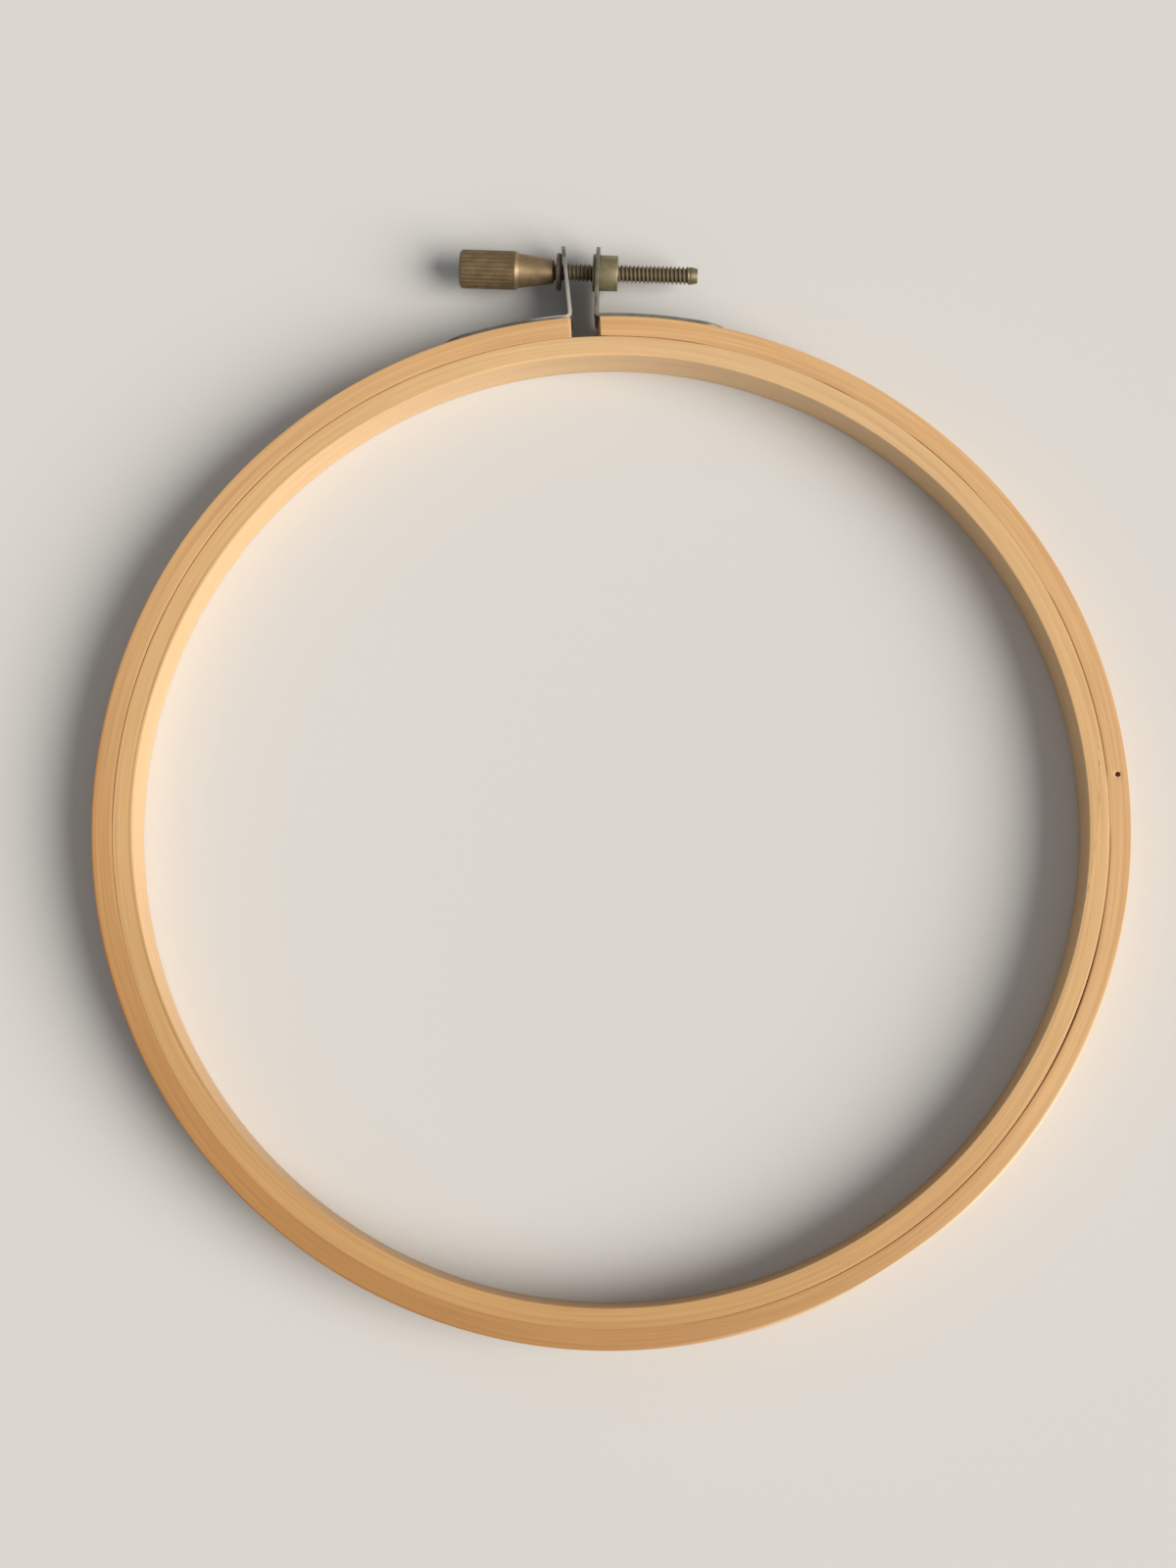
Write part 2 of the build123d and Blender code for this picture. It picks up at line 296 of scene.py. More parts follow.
inner_bamboo = bamboo(
    "waxed_bamboo_pale",
    ground="#d9b07b",
    fibre="#c4975d",
    bundle="#b58650",
    rubbed="#ecd2ac",
    dark_edge_and_painted_shade="#9a7642",
)
outer_bamboo = bamboo(
    "waxed_bamboo_honey",
    ground="#d7ac79",
    fibre="#c29259",
    bundle="#b3804b",
    rubbed="#e6cfa9",
    dark_edge_and_painted_shade="#a5662c",
)
print("bamboo materials:", inner_bamboo.name, outer_bamboo.name)

# %% [markdown]
# ## Antique plated metal
# The small parts are brass or steel with a dark chemical patina, then tumbled, so the bare metal
# comes back on edges and crests. To the eye they are dull and brown or grey, with soft bright
# edges. The base colour is mixed from a patina, a half rubbed tone and bare metal: noise in the
# object's own space sets the first two, and the mark of wear and painted highlight the last. On
# the brackets' upper edges that mark is partly a painted highlight. Pure metal would mirror the
# dim sky and look too dark here, so each finish is only partly metallic. The real grit is finer
# than the render can show, so it is drawn about a tenth of a millimetre wide.

# %% The metal material
PATCH_SIZE = 1.6
GRIT_SIZE = 0.12
PATCH_FADE = {"From Min": 0.35, "From Max": 0.68}
BARE_FADE = {"From Min": 0.15, "From Max": 0.6}
GRIT_SPAN = {"From Min": 0.3, "From Max": 0.7}
SMOOTHER = 0.06
ROUGHER = 0.08
GRIT_RELIEF = {"Strength": 0.25, "Distance": 0.02 * MM}


def antique(name, patina, rubbed, bare, roughness, metallic=(0.55, 0.9)):
    """A metal with a patina. Metallic is how metallic it is on the patina, and where bare."""
    material = new_material(name)
    place = add(material, "ShaderNodeTexCoord").outputs["Object"]
    coarse = {"Vector": place, "Scale": 1 / PATCH_SIZE / MM, "Detail": 4.0, "Roughness": 0.6}
    fine = {"Vector": place, "Scale": 1 / GRIT_SIZE / MM, "Detail": 2.0}
    patches = add(material, "ShaderNodeTexNoise", coarse)
    grit = add(material, "ShaderNodeTexNoise", fine)
    # Bare metal where the mesh marks wear, and a painted highlight on the brackets' upper edges.
    edges = marked(material, "wear_and_highlight", grit)
    shade = lay_coat(material, patina, rubbed, patches, PATCH_FADE)
    shade = lay_coat(material, shade, bare, edges, BARE_FADE)
    bared = {**BARE_FADE, "To Min": metallic[0], "To Max": metallic[1]}
    tumbled = {**GRIT_SPAN, "To Min": roughness - SMOOTHER, "To Max": roughness + ROUGHER}
    surface = {
        "Base Color": shade,
        "Metallic": add(material, "ShaderNodeMapRange", {"Value": edges, **bared}),
        "Roughness": add(material, "ShaderNodeMapRange", {"Value": grit, **tumbled}),
        "Normal": add(material, "ShaderNodeBump", {"Height": grit, **GRIT_RELIEF}),
    }
    shader = add(material, "ShaderNodeBsdfPrincipled", surface)
    add(material, "ShaderNodeOutputMaterial", {"Surface": shader})
    return material


# %% Brass for the screw, steel for the brackets, bronze for the washer
knob_brass = antique("antique_brass_knob", "#725f44", "#8a7555", "#c4ac84", 0.45)
nut_brass = antique("antique_brass_olive", "#81775a", "#9a9070", "#bdb28c", 0.45)
screw_brass = antique("antique_brass_dark", "#665841", "#827357", "#b5a98e", 0.46)
bracket_steel = antique("antique_steel_sheet", "#6b675d", "#8d887b", "#eae5da", 0.42, (0.5, 0.3))
washer_bronze = antique("oil_rubbed_bronze", "#7a6655", "#8e7a66", "#a3917a", 0.55, (0.2, 0.4))
metals = (knob_brass, nut_brass, screw_brass, bracket_steel, washer_bronze)
print("metals:", ", ".join(metal.name for metal in metals))

# %% [markdown]
# ## The two hoops
# A hoop starts as one flat strip of bamboo, softened and bent round a drum. Two cylinders with
# a wall between them would do from afar, but the light on a hoop lies along its soft edges. So
# the strip's cross-section is drawn as a rectangle, its four corners are rounded as sanding
# leaves them, and the section is spun round the hoops' axis. The outer hoop is spun as two
# halves that meet opposite the screw, because its ends spring apart when the screw is loosened:
# each half then bends with its own end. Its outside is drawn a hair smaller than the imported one's,
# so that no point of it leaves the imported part's box.

# %% Sizes of the hoops
HEIGHT = 9.5
STRIP = 3.05
WALL_CLEARANCE = 0.15
INSIDE_BOX = 0.02
INNER_OUTSIDE = 75.0
INNER_BORE = INNER_OUTSIDE - STRIP
OUTER_BORE = INNER_OUTSIDE + WALL_CLEARANCE
OUTER_OUTSIDE = OUTER_BORE + STRIP - INSIDE_BOX
ARRIS = 0.2
SIDE_CUTS = 5
STEP = math.radians(1.0)
NEARLY = 0.99
JUST_OVER = 1.01
IN_BORE = 0.01
AT_BORE_EDGE = 0.1
BESIDE_BORE_EDGE = 0.25
AT_OUTER_EDGE = 0.9


# %% Draw a strip's section and spin it
def spin_strip(bore, outside, start, sweep):
    """A bmesh of a strip bent round the Z axis, from start through sweep, both in radians."""
    bm = bmesh.new()
    corners = ((bore, 0), (outside, 0), (outside, HEIGHT), (bore, HEIGHT))
    bm.faces.new([bm.verts.new((radius, 0, z)) for radius, z in corners])
    bmesh.ops.bevel(
        bm,
        geom=list(bm.verts),
        offset=ARRIS,
        offset_type="OFFSET",
        segments=4,
        profile=0.5,
        affect="VERTICES",
        material=-1,
    )
    sides = [e for e in bm.edges if e.calc_length() > ARRIS]
    bmesh.ops.subdivide_edges(bm, edges=sides, cuts=SIDE_CUTS)
    bmesh.ops.rotate(bm, cent=(0, 0, 0), matrix=Matrix.Rotation(start, 3, "Z"), verts=bm.verts)
    full = abs(sweep - math.tau) < STEP / 2
    geometry = list(bm.verts) + list(bm.edges)
    if full:
        bmesh.ops.delete(bm, geom=list(bm.faces), context="FACES_ONLY")
    else:
        geometry += list(bm.faces)
    bmesh.ops.spin(
        bm,
        geom=geometry,
        cent=(0, 0, 0),
        axis=(0, 0, 1),
        dvec=(0, 0, 0),
        angle=sweep,
        steps=round(sweep / STEP),
        use_merge=full,
        use_duplicate=False,
    )
    bmesh.ops.recalc_face_normals(bm, faces=bm.faces)
    return bm


# %% Lay the grain along a strip
def lay_grain(bm, seam, middle):
    """Stores how far along, how deep and how high each corner of each face is, in millimetres."""
    grain = bm.loops.layers.float_vector.new("along_strip")
    for face in bm.faces:
        centre = face.calc_center_median()
        face_turn = (math.atan2(centre.y, centre.x) - seam) % math.tau
        for corner in face.loops:
            x, y, z = corner.vert.co
            turn_here = (math.atan2(y, x) - seam) % math.tau
            turn_here += math.tau * round((face_turn - turn_here) / math.tau)
            corner[grain] = (turn_here * middle, math.hypot(x, y) - middle, z)


# %% [markdown]
# ## Wear round the rim
# Hands reach one side of a hoop more than another, and the light falls more on one side, so
# wear, painted shade, painted light and the fit of the joint change slowly round the rim. Each of
# them is a named mark: its strength, the rim's angle in degrees where it is strongest, and how
# quickly it fades from there. Painting them by hand would tie them to one mesh. Chance adds to
# them: noise read along a circle has no seam, and a larger circle gives more waves.

# %% Marks round the rim
def fading(angle, strength, centre, power=1):
    """The strength where the rim faces the centre's angle, down to 0 a quarter turn away."""
    return strength * max(0.0, math.cos(angle - math.radians(centre))) ** power


def rim_noise(angle, circle, height):
    """A smooth random value round the rim, read along a circle of that radius and height."""
    return noise.noise(Vector((math.cos(angle) * circle, math.sin(angle) * circle, height)))


def mark_layers(bm):
    """A layer on the mesh's points for each kind of mark that the bamboo material reads."""
    names = ("rubbed", "dark_edge_and_painted_shade", "painted_shade", "pith_and_painted_light", "glue")
    return {name: bm.verts.layers.float.new(name) for name in names}


# %% How close the two hoops lie
CLOSED = (2.6, 246)
CLOSED_FLOOR = 1.2
CLOSED_MOST = 0.95
PATCH_NOISE = (5, 16.28)
PATCH_GAIN = 5
PATCH_FLOOR = 0.12
PATCH_MOST = 0.75
NO_PATCHES = (1, 150, 4)
# Painted shade along the edges of the joint between the hoops.
JOINT_SHADE = 0.45
JOINT_SHADE_ANGLES = (345, 150)


def closed_share(angle):
    """How far the joint between the hoops has closed, from 0 to nearly 1 where no line shows."""
    patches = min(PATCH_MOST, PATCH_GAIN * (rim_noise(angle, *PATCH_NOISE) - PATCH_FLOOR))
    patches *= 1 - fading(angle, *NO_PATCHES)
    return min(CLOSED_MOST, max(0.0, fading(angle, *CLOSED) - CLOSED_FLOOR, patches))


def joint_shade(angle):
    """How much painted shade lies along the joint, most on the lower right and the upper left."""
    return max(fading(angle, JOINT_SHADE, centre) for centre in JOINT_SHADE_ANGLES)


def draw_to_corner(radius, z, corner, share):
    """Moves a point of the upper arris at that radius towards the sharp corner by a share."""
    reach = ARRIS * JUST_OVER
    if z > HEIGHT - reach and abs(radius - corner) < reach:
        radius += (corner - radius) * share
        z += (HEIGHT - z) * share
    return radius, z


# %% [markdown]
# ## The inner hoop
# A closed hoop is a strip whose two ends are planed to long tapers and glued over each other.
# The glue line runs slantwise across the edge, and shows only as a few short dashes. Drawn on
# straight rings of points it would look like a stair, so the rings near the seam are slid along
# the rim until they follow that slanting line.

# %% Sizes and marks of the inner hoop
SCARF_ANGLE = math.radians(3.8)
SCARF_SWEEP = math.radians(24)
SCARF_REACH = math.radians(50)
WANDER = 0.04
WANDER_NOISE = (3, 1.5)
INNER_PAINTED_SHADE = (0.6, 262)
BORE_PAINTED_SHADE = (0.25, 300)
UPPER_SIDE_PAINTED_LIGHT = (0.8, 78, 3)
BORE_SHADED_SIDE = (1, 285)
BORE_EDGE_DARKER = 0.55
BESIDE_BORE_EDGE_DARKER = 0.35
DARKER_EDGE_ANGLE = 175
GLUE_IN_BORE = 0.5
ARRIS_RUBBED = (0.4, 330)
INNER_JOINT_KEEN = (0.4, 345)
BORE_EDGE_ROUND = (0.6, 190)


def scarf_distance(angle):
    """How far round the rim from the glued scarf, in radians."""
    return abs((angle - SCARF_ANGLE + math.pi) % math.tau - math.pi)


# %% Mark a point of the inner hoop, then move it
def mark_inner(point, marks):
    """Stores where the strip is glued, rubbed, paler or darker, and where shade and light are painted."""
    x, y, z = point.co
    radius, angle = math.hypot(x, y), math.atan2(y, x)
    depth = (radius - INNER_BORE) / (INNER_OUTSIDE - INNER_BORE)
    on_top = z > HEIGHT - ARRIS * NEARLY
    in_bore = depth < IN_BORE
    at_arris = on_top and depth < AT_BORE_EDGE
    beside_arris = on_top and depth < BESIDE_BORE_EDGE
    at_joint = on_top and depth > AT_OUTER_EDGE
    if scarf_distance(angle) < STEP / 2:
        point[marks["glue"]] = GLUE_IN_BORE if in_bore else 1.0
    # Painted shade: darker towards the lower left, and more in the bore's shaded part.
    point[marks["painted_shade"]] = fading(angle, *INNER_PAINTED_SHADE) + in_bore * fading(angle, *BORE_PAINTED_SHADE)
    # Painted light: the bore has the pith side's paleness only where it is lit, and the rest of the strip is
    # paler towards the upper side.
    bore_pith_where_lit = 1 - fading(angle, *BORE_SHADED_SIDE)
    point[marks["pith_and_painted_light"]] = bore_pith_where_lit if in_bore else fading(angle, *UPPER_SIDE_PAINTED_LIGHT)
    # The bore's upper edge is darker on the left, and painted shade lies along the joint.
    darker_edge = BORE_EDGE_DARKER * at_arris + BESIDE_BORE_EDGE_DARKER * beside_arris
    point[marks["dark_edge_and_painted_shade"]] = fading(angle, darker_edge, DARKER_EDGE_ANGLE) + joint_shade(angle) * at_joint
    point[marks["rubbed"]] = at_arris * fading(angle, *ARRIS_RUBBED)


def shape_inner(point):
    """Slides a point along the slanting scarf, and gives the strip its uneven edges and wall."""
    x, y, z = point.co
    radius, angle = math.hypot(x, y), math.atan2(y, x)
    depth = (radius - INNER_BORE) / (INNER_OUTSIDE - INNER_BORE)
    share = near(scarf_distance(angle), SCARF_REACH)
    eased = share * share * (3 - 2 * share)
    angle += (depth - 0.5) * SCARF_SWEEP * eased
    closed = closed_share(angle)
    keen = max(closed, fading(angle, *INNER_JOINT_KEEN))
    radius, z = draw_to_corner(radius, z, INNER_OUTSIDE, keen)
    radius, z = draw_to_corner(radius, z, INNER_BORE, -fading(angle, *BORE_EDGE_ROUND))
    radius -= WANDER * abs(rim_noise(angle, *WANDER_NOISE)) * depth * (1 - closed)
    point.co = (radius * math.cos(angle), radius * math.sin(angle), z)


# %% Make the inner hoop
bm = spin_strip(INNER_BORE, INNER_OUTSIDE, SCARF_ANGLE, math.tau)
lay_grain(bm, SCARF_ANGLE, (INNER_BORE + INNER_OUTSIDE) / 2)
marks = mark_layers(bm)
for point in bm.verts:
    mark_inner(point, marks)
    shape_inner(point)
inner_ring = make_piece(bm, "inner_ring", inner_bamboo)
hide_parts("inner_hoop")
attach(inner_ring, "inner_hoop")

# %% [markdown]
# ## The outer hoop
# The cut through the outer hoop is made with a saw, so both its faces are flat, and the one on
# the screw's tip side leans a little. Each half is spun past its end and cut back with a plane.
# The hoop doesn't grip evenly, so the dark line between the two hoops is widest on the lower
# right and closes on the lower left. On the lower right the rim was also planed thinner, and
# its edge there is pale and rough, with a painted highlight on it as well. The cut end on the
# knob side is painted pale as a highlight. A nail that held the strip in its form left a small
# hole, painted dark inside as shade.

# %% Sizes of the cut, the planed place and the nail hole
SPLIT_ANGLE = math.radians(95)
SPLIT_GAP = 4.15
SPLIT_LEAN = math.radians(4.2)
SAW_BEVEL = 0.1
BOTTOM = math.radians(-90)
TIP_SWEEP = math.radians(185)
KNOB_SWEEP = math.radians(177)
PLANED_ANGLE = math.radians(-54.8)
PLANED_DEPTH = 0.45
PLANED_RADIUS = 125.0
PLANED_OFFSET = OUTER_OUTSIDE - PLANED_DEPTH - PLANED_RADIUS
PLANED_CENTRE = Vector((math.cos(PLANED_ANGLE), math.sin(PLANED_ANGLE))) * PLANED_OFFSET
NAIL_ANGLE = math.radians(7.41)
NAIL_RING = 76.73
NAIL_PLACE = Vector((NAIL_RING * math.cos(NAIL_ANGLE), NAIL_RING * math.sin(NAIL_ANGLE), HEIGHT))
NAIL_RADIUS = 0.41
NAIL_LIP = 0.6
NAIL_PATCH = 0.9
NAIL_SIDES = 24
NAIL_RINGS = ((NAIL_RADIUS, 0.04), (NAIL_RADIUS, 0.2), (NAIL_RADIUS / 2, 0.8))
split_out = Vector((math.cos(SPLIT_ANGLE), math.sin(SPLIT_ANGLE), 0))
split_right = Vector((split_out.y, -split_out.x, 0))


def across_cut(x, y):
    """How far to the right of the middle of the cut a place lies."""
    return x * split_right.x + y * split_right.y


# %% Saw the end
def saw_end(bm, side, lean):
    """Cuts a half back to its end's plane, and takes the sharpness off the cut's edges."""
    face_point = split_right * (side * SPLIT_GAP / 2) + Vector((0, 0, HEIGHT / 2))
    face_normal = split_right * (-side * math.cos(lean)) + Vector((0, 0, side * math.sin(lean)))
    near_cut = {v for v in bm.verts if v.co.y > INNER_BORE / 2}
    geometry = list(near_cut) + [e for e in bm.edges if set(e.verts) <= near_cut]
    geometry += [f for f in bm.faces if set(f.verts) <= near_cut]
    cut = bmesh.ops.bisect_plane(
        bm,
        geom=geometry,
        plane_co=face_point,
        plane_no=face_normal,
        clear_outer=True,
    )
    rim = [e for e in cut["geom_cut"] if isinstance(e, bmesh.types.BMEdge)]
    end = bmesh.ops.contextual_create(bm, geom=rim)["faces"]
    bmesh.ops.bevel(
        bm,
        geom=list(end[0].edges),
        offset=SAW_BEVEL,
        offset_type="OFFSET",
        segments=2,
        profile=0.5,
        affect="EDGES",
        clamp_overlap=True,
        material=-1,
    )
    bmesh.ops.recalc_face_normals(bm, faces=bm.faces)


# %% Drill the nail hole
def drill_nail_hole(bm):
    """Opens the upper face round the nail's place and drills a round hole into it."""
    around = []
    for face in bm.faces:
        x, y, z = face.calc_center_median()
        beside = abs(math.atan2(y, x) - NAIL_ANGLE) < STEP
        if beside and abs(math.hypot(x, y) - NAIL_RING) < NAIL_PATCH and z > HEIGHT - WELD:
            around.append(face)
    bmesh.ops.delete(bm, geom=around, context="FACES")
    opening = [e for e in bm.edges if e.is_boundary]
    place = Matrix.Translation(NAIL_PLACE)
    lip = bmesh.ops.create_circle(bm, segments=NAIL_SIDES, radius=NAIL_LIP, matrix=place)["verts"]
    ring = list({e for v in lip for e in v.link_edges})
    bmesh.ops.triangle_fill(bm, edges=opening + ring, use_beauty=True, normal=(0, 0, 1))
    for radius, drop in NAIL_RINGS:
        grown = bmesh.ops.extrude_edge_only(bm, edges=ring)["geom"]
        ring = [e for e in grown if isinstance(e, bmesh.types.BMEdge)]
        for point in {v for e in ring for v in e.verts}:
            out = (point.co.xy - NAIL_PLACE.xy).normalized() * radius
            point.co = NAIL_PLACE + Vector((out.x, out.y, -drop))
    bmesh.ops.contextual_create(bm, geom=ring)
    bmesh.ops.recalc_face_normals(bm, faces=bm.faces)
    left_open = sum(e.is_boundary for e in bm.edges)
    print("nail hole drilled through", len(around), "faces; edges left open:", left_open)


# %% [markdown]
# ## The outer hoop's wear and fit
# The line between the hoops is a real gap, from under a hundredth of a millimetre where they
# grip to a fifth where they don't, so most of its shadow comes from the shape; painted shade
# along its edges darkens it further on the lower right and the upper left.
# As the clamp opens, the tip side's end slides over the inner hoop, so its bore is eased over
# the last few millimetres. The rim's edge is keen on the right, and round and pale on the lower
# right, where it was handled most, and a painted highlight brightens it there as well.

# %% Mark a point of the outer hoop
OUTER_PAINTED_SHADE = (1.0, 240)
RIM_PAINTED_SHADE = (0.8, 225)
RIM_WORN_AND_HIGHLIT = (1.0, 315, 6)
RIM_START = 0.8
RIM_RAMP = 0.13
LIP_RUBBED = 0.8
CUT_HIGHLIGHT = 0.35
CUT_BAND = 0.11
HOLE_SHADE = 0.1


def mark_outer(point, marks):
    """Stores where shade is painted, and where the strip is rubbed or painted pale as a highlight."""
    x, y, z = point.co
    radius, angle = math.hypot(x, y), math.atan2(y, x)
    depth = (radius - OUTER_BORE) / (OUTER_OUTSIDE - OUTER_BORE)
    on_top = z > HEIGHT - ARRIS * NEARLY
    at_joint = on_top and depth < AT_BORE_EDGE
    rim = ramp(depth - RIM_START, RIM_RAMP) * on_top
    at_nail = (point.co.xy - NAIL_PLACE.xy).length < NAIL_RADIUS * JUST_OVER
    in_hole = at_nail and z < HEIGHT - HOLE_SHADE
    at_cut = abs(across_cut(x, y) + SPLIT_GAP / 2) < CUT_BAND and y > 0
    # Painted shade on the rim's lower left edge, along the joint, and all through the nail hole.
    dark_edge_and_painted_shade = rim * fading(angle, *RIM_PAINTED_SHADE) + joint_shade(angle) * at_joint
    # Painted shade: darker towards the lower left.
    point[marks["painted_shade"]] = fading(angle, *OUTER_PAINTED_SHADE)
    point[marks["dark_edge_and_painted_shade"]] = 1.0 if in_hole else dark_edge_and_painted_shade
    # The rim's lower right edge is worn pale, with a painted highlight there too.
    point[marks["rubbed"]] = rim * fading(angle, *RIM_WORN_AND_HIGHLIT)
    if at_nail and not in_hole:
        point[marks["rubbed"]] = LIP_RUBBED
    # The knob side's cut end is painted pale as a highlight.
    if at_cut:
        point[marks["rubbed"]] = CUT_HIGHLIGHT


# %% Fit the outer hoop to the inner one, and shape its edges
GRIP_LEAST = 0.006
GRIP_TIGHT = 0.03
GRIP_LOOSE = (0.16, 340, 64)
GRIP_NOISE = (4, 7.5)
END_EASE = 0.13
END_EASE_LENGTH = 3.0
OUTER_JOINT_KEEN = (0.7, 165)
RIM_KEEN = (0.65, 0)
RIM_ROUND = 0.8


def shape_outer(point):
    """Gives the strip its uneven fit, its keen and worn edges and its planed place."""
    x, y, z = point.co
    radius, angle = math.hypot(x, y), math.atan2(y, x)
    depth = (radius - OUTER_BORE) / (OUTER_OUTSIDE - OUTER_BORE)
    closed = closed_share(angle)
    grip = GRIP_TIGHT + fading(angle, *GRIP_LOOSE)
    grip = (grip + GRIP_TIGHT * rim_noise(angle, *GRIP_NOISE)) * (1 - closed)
    at_end = near(across_cut(x, y) - SPLIT_GAP / 2, END_EASE_LENGTH) * (y > 0)
    grip += GRIP_LEAST + END_EASE * at_end**2
    joint_keen = max(closed, fading(angle, *OUTER_JOINT_KEEN))
    radius, z = draw_to_corner(radius, z, OUTER_BORE, joint_keen)
    rim_keen = fading(angle, *RIM_KEEN) - RIM_ROUND * fading(angle, *RIM_WORN_AND_HIGHLIT)
    radius, z = draw_to_corner(radius, z, OUTER_OUTSIDE, rim_keen)
    radius += (grip - OUTER_BORE + INNER_OUTSIDE) * (1 - depth)
    offset = Vector((x, y)) - PLANED_CENTRE
    if offset.length > PLANED_RADIUS:
        planed = PLANED_CENTRE + offset * (PLANED_RADIUS / offset.length)
        radius -= math.hypot(x, y) - planed.length
    point.co = (radius * math.cos(angle), radius * math.sin(angle), z)


# %% Make the two halves of the outer hoop
halves = (
    ("outer_ring_tip_half", 1, SPLIT_LEAN, BOTTOM, TIP_SWEEP, "right_clamp_half"),
    ("outer_ring_knob_half", -1, 0.0, BOTTOM - KNOB_SWEEP, KNOB_SWEEP, "left_clamp_half"),
)
for name, side, lean, start, sweep, body in halves:
    bm = spin_strip(OUTER_BORE, OUTER_OUTSIDE, start, sweep)
    saw_end(bm, side, lean)
    if side > 0:
        drill_nail_hole(bm)
    lay_grain(bm, SPLIT_ANGLE, (OUTER_BORE + OUTER_OUTSIDE) / 2)
    marks = mark_layers(bm)
    for point in bm.verts:
        mark_outer(point, marks)
        shape_outer(point)
    half = make_piece(bm, name, outer_bamboo)
    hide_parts("outer_hoop")
    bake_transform(half, "outer_hoop", body, start=(0, -0.078, 0), end=(0, 0.072, 0))

# %% [markdown]
# ## The brackets
# Each bracket is a blank punched from sheet and bent, so its faces are flat and its edges are
# sheared square, with only a hair of rounding. The imported shape is already right, so drawing it
# again would only risk its places. A copy of it is merged into clean flat faces, and its sharp
# edges get that rounding. The edge that faces up is rubbed bright, and brightened further by a
# painted highlight, most of all at the bend and on the left bracket.

# %% Copy and round the brackets
SHEAR_ROUND = 0.07
FLAT_WITHIN = math.radians(0.5)
FACES_UP = 0.95
EAR_ROOT = 0.9
EAR_RAMP = 0.5
EAR_BRIGHT = 0.45
BEND_BRIGHT = 0.5
BEND_REACH = 1.4
# How much the upper edge is brightened: its wear, and a painted highlight that is strongest on the left
# bracket.
EDGE_WEAR_AND_HIGHLIGHT = {"left": 1.0, "right": 0.45}


def rounded_copy(node, name, edge_wear_and_highlight):
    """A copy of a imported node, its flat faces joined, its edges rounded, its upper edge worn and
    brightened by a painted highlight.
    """
    bm = bmesh.new()
    bm.from_mesh(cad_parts[node].data)
    bmesh.ops.transform(bm, matrix=Matrix.Scale(1 / MM, 4), space=Matrix(), verts=bm.verts)
    bmesh.ops.remove_doubles(bm, verts=bm.verts, dist=WELD)
    bmesh.ops.dissolve_limit(
        bm,
        angle_limit=FLAT_WITHIN,
        verts=bm.verts,
        edges=bm.edges,
        use_dissolve_boundaries=False,
    )
    wear_edges(bm, SHEAR_ROUND, sharper_than=40)
    bm.normal_update()
    wear_and_highlight = bm.verts.layers.float["wear_and_highlight"]
    # Painted highlight over the wear: points of the faces that look up are brightened, most near the bend
    # and on the left bracket.
    for face in bm.faces:
        if face.normal.z > FACES_UP:
            for point in face.verts:
                out = point.co.y - OUTER_OUTSIDE
                bright = EAR_BRIGHT + BEND_BRIGHT * near(out, BEND_REACH)
                bright *= ramp(out + EAR_ROOT, EAR_RAMP) * edge_wear_and_highlight
                point[wear_and_highlight] = max(point[wear_and_highlight], bright)
    return make_piece(bm, name, bracket_steel)


for side, edge_wear_and_highlight in EDGE_WEAR_AND_HIGHLIGHT.items():
    bracket = rounded_copy(side + "_bracket", side + "_bracket_sheet", edge_wear_and_highlight)
    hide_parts(side + "_bracket")
    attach(bracket, side + "_clamp_half")

# %% [markdown]
# ## The rivets
# A rivet is a pin with a domed head outside the bracket's foot and a flat tail let into the
# wood. All of it is round, so its outline is turned like a knob's, and then set across the rim
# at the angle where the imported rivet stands. The outline runs from the tail to the head.

# %% Turn the rivets
RIVET_SIDES = 40
TAIL_FACE_RADIUS = 1.1
TAIL_RADIUS = 1.15
TAIL_CHAMFER = 0.1
TAIL_THICKNESS = 0.4
PIN_RADIUS = 0.75
HEAD_SEAT = 78.85
HEAD_RADIUS = 1.35
HEAD_DOME = ((0.1, HEAD_RADIUS), (0.25, 1.24), (0.37, 1.0), (0.43, 0.65), (0.45, 0.3), (0.45, 0))
rivet_outline = [
    (OUTER_BORE, 0),
    (OUTER_BORE, TAIL_FACE_RADIUS),
    (OUTER_BORE + TAIL_CHAMFER, TAIL_RADIUS),
    (OUTER_BORE + TAIL_THICKNESS, TAIL_RADIUS),
    (OUTER_BORE + TAIL_THICKNESS, PIN_RADIUS),
    (HEAD_SEAT, PIN_RADIUS),
    (HEAD_SEAT, HEAD_RADIUS),
]
rivet_outline += [(HEAD_SEAT + rise, radius) for rise, radius in HEAD_DOME]


def rivet_angles(node):
    """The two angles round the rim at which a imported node's rivets stand."""
    found = sorted(math.atan2(v.co.y, v.co.x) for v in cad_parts[node].data.vertices)
    middle = (found[0] + found[-1]) / 2
    groups = ([a for a in found if a < middle], [a for a in found if a > middle])
    return [(group[0] + group[-1]) / 2 for group in groups]


for side in ("left", "right"):
    angles = rivet_angles(side + "_rivets")
    print(side, "rivets at", [round(math.degrees(a), 2) for a in angles], "degrees")
    for count, angle in enumerate(angles, 1):
        bm = turn(rivet_outline, RIVET_SIDES)
        place = Matrix.Translation((0, 0, HEIGHT / 2)) @ Matrix.Rotation(angle, 4, "Z")
        bmesh.ops.transform(bm, matrix=place, space=Matrix(), verts=bm.verts)
        rivet = make_piece(bm, f"{side}_rivet_{count}", bracket_steel)
        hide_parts(side + "_rivets")
        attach(rivet, side + "_clamp_half")

# %% [markdown]
# ## The thumb screw
# The rod is number 4 screw stock: 2.84 mm across, with 40 turns to the inch. One tooth of the
# thread is drawn and spun once round the rod's axis while it advances, and copies of that turn
# are welded end to end into one long helix. A bump in the material would be less work, but the
# thread shows against the floor. Its ends are cut square, and at the tip the thread runs out
# into a smooth cone.

